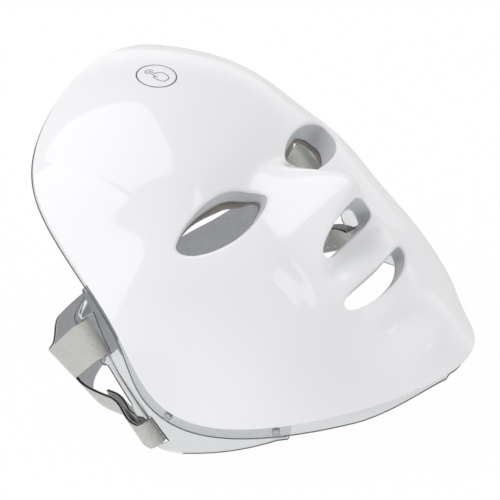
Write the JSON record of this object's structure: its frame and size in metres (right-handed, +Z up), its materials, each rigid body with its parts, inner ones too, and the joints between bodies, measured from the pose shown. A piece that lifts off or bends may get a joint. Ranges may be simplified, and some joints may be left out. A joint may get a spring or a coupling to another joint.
{
  "type": "led face mask",
  "caption": "Rigid white face mask with eye, nose and mouth openings, clear inner shell with light strips, clear side wings and an opening head strap.",
  "frame": {"origin": "Middle of the footprint on the table under the resting mask.", "axes": "+X to the wearer's left, +Y towards the crown and the strap, +Z up out of the face as it lies tilted."},
  "size_m": [0.1878, 0.2018, 0.1267],
  "materials": {
    "shell": "polished white injection moulding",
    "clear": "clear polycarbonate",
    "guard": "soft brown-grey silicone",
    "strap": "grey woven elastic loop cloth",
    "hook": "hook tape",
    "led_strip": "flexible printed strip",
    "board": "green solder mask",
    "pouch": "foil pouch",
    "port": "drawn steel",
    "copper": "copper disc",
    "lead": "soft insulated wire"
  },
  "bodies": {
    "mask": {"battery": "pouch", "charge_board": "board", "charge_lead": "lead", "controller_board": "board", "eye_guard_left": "guard", "eye_guard_right": "guard", "inner_liner": "clear", "led_lead_left": "lead", "led_lead_right": "lead", "led_strip_cheek_lower_left": "led_strip", "led_strip_cheek_lower_right": "led_strip", "led_strip_cheek_upper_left": "led_strip", "led_strip_cheek_upper_right": "led_strip", "led_strip_chin": "led_strip", "led_strip_forehead": "led_strip", "led_strip_jaw_left": "led_strip", "led_strip_jaw_right": "led_strip", "led_strip_temple_left": "led_strip", "led_strip_temple_right": "led_strip", "outer_shell": "shell", "rivet_left_1": "clear", "rivet_left_2": "clear", "rivet_right_1": "clear", "rivet_right_2": "clear", "side_wing_left": "clear", "side_wing_right": "clear", "touch_electrode": "copper", "usb_port": "port"},
    "strap_half_right": {"strap_right": "strap", "hook_tab_upper_right": "hook", "hook_tab_lower_right": "hook", "rear_hook_patch": "hook"},
    "strap_half_left": {"strap_left": "strap", "hook_tab_upper_left": "hook", "hook_tab_lower_left": "hook"}
  },
  "joints": [
    {"name": "strap_right_swing", "type": "hinge", "parent": "mask", "child": "strap_half_right", "pos_m": [-0.08982, 0.03695, 0.04519], "axis": [0, 0.6208, 0.784], "range_deg": [0, 95]},
    {"name": "strap_left_swing", "type": "hinge", "parent": "mask", "child": "strap_half_left", "pos_m": [0.08982, 0.03695, 0.04519], "axis": [0, -0.6208, -0.784], "range_deg": [0, 95]}
  ]
}
